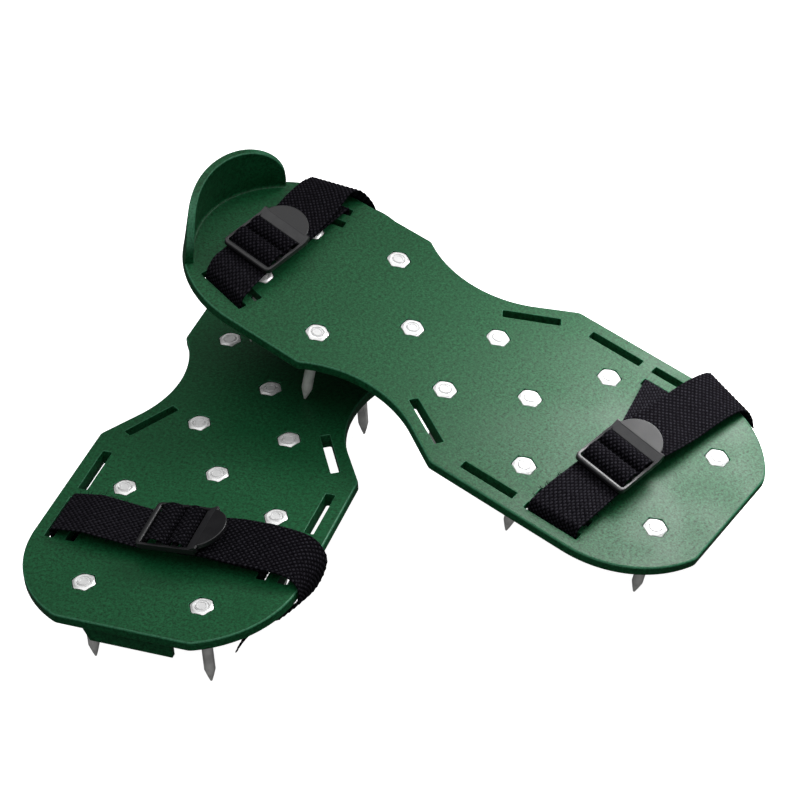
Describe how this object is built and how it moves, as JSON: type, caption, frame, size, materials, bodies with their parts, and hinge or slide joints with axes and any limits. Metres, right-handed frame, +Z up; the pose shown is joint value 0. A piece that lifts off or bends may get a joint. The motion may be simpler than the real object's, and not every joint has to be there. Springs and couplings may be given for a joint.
{
  "type": "lawn aerator shoes",
  "caption": "Pair of strap-on lawn aerator shoes: flat moulded soles with heel cups, steel spikes below, hex nuts on top, webbing straps and ladder-lock buckles.",
  "frame": {"origin": "middle of the pair's bounding box at ground level", "axes": "+Z up from the ground; +Y along the flat shoe from its heel to its toe; +X to that shoe's right"},
  "size_m": [0.3078, 0.3, 0.1388],
  "materials": {
    "sole": "satin, fine leather-like grain",
    "spike": "turned steel",
    "nut": "bright zinc plate",
    "buckle": "satin black",
    "webbing": "coarse basket-weave webbing"
  },
  "bodies": {
    "lower_shoe": {"lower_heel_strap": "webbing", "lower_nut_ball_centre": "nut", "lower_nut_ball_left": "nut", "lower_nut_ball_right": "nut", "lower_nut_heel_centre": "nut", "lower_nut_heel_left": "nut", "lower_nut_heel_right": "nut", "lower_nut_rear_left": "nut", "lower_nut_rear_right": "nut", "lower_nut_toe_left": "nut", "lower_nut_toe_right": "nut", "lower_nut_waist_left": "nut", "lower_nut_waist_right": "nut", "lower_sole": "sole", "lower_spike_ball_centre": "spike", "lower_spike_ball_left": "spike", "lower_spike_ball_right": "spike", "lower_spike_heel_centre": "spike", "lower_spike_heel_left": "spike", "lower_spike_heel_right": "spike", "lower_spike_rear_left": "spike", "lower_spike_rear_right": "spike", "lower_spike_toe_left": "spike", "lower_spike_toe_right": "spike", "lower_spike_waist_left": "spike", "lower_spike_waist_right": "spike", "lower_toe_strap": "webbing"},
    "upper_shoe": {"upper_heel_strap": "webbing", "upper_nut_ball_centre": "nut", "upper_nut_ball_left": "nut", "upper_nut_ball_right": "nut", "upper_nut_heel_centre": "nut", "upper_nut_heel_left": "nut", "upper_nut_heel_right": "nut", "upper_nut_rear_left": "nut", "upper_nut_rear_right": "nut", "upper_nut_toe_left": "nut", "upper_nut_toe_right": "nut", "upper_nut_waist_left": "nut", "upper_nut_waist_right": "nut", "upper_sole": "sole", "upper_spike_ball_centre": "spike", "upper_spike_ball_left": "spike", "upper_spike_ball_right": "spike", "upper_spike_heel_centre": "spike", "upper_spike_heel_left": "spike", "upper_spike_heel_right": "spike", "upper_spike_rear_left": "spike", "upper_spike_rear_right": "spike", "upper_spike_toe_left": "spike", "upper_spike_toe_right": "spike", "upper_spike_waist_left": "spike", "upper_spike_waist_right": "spike", "upper_toe_strap": "webbing"},
    "lower_heel_buckle": {"lower_heel_buckle": "buckle"},
    "lower_toe_buckle": {"lower_toe_buckle": "buckle"},
    "upper_heel_buckle": {"upper_heel_buckle": "buckle"},
    "upper_toe_buckle": {"upper_toe_buckle": "buckle"}
  },
  "joints": [
    {"name": "upper_lift", "type": "slide", "parent": "lower_shoe", "child": "upper_shoe", "axis": [0, 0, 1], "range_m": [0, 0.12]},
    {"name": "lower_heel_buckle_hinge", "type": "hinge", "parent": "lower_shoe", "child": "lower_heel_buckle", "pos_m": [0.11296, -0.109, 0.0554], "axis": [0, 1, 0], "range_deg": [0, 45]},
    {"name": "lower_toe_buckle_hinge", "type": "hinge", "parent": "lower_shoe", "child": "lower_toe_buckle", "pos_m": [0.09856, 0.0923, 0.055], "axis": [0.0036, 0.9987, -0.0503], "range_deg": [0, 45]},
    {"name": "upper_heel_buckle_hinge", "type": "hinge", "parent": "upper_shoe", "child": "upper_heel_buckle", "pos_m": [0.09987, -0.04121, 0.11181], "axis": [-0.9103, 0.3061, -0.2785], "range_deg": [0, 45]},
    {"name": "upper_toe_buckle_hinge", "type": "hinge", "parent": "upper_shoe", "child": "upper_toe_buckle", "pos_m": [-0.08832, 0.01015, 0.06206], "axis": [-0.8868, 0.3622, -0.2871], "range_deg": [0, 45]}
  ]
}
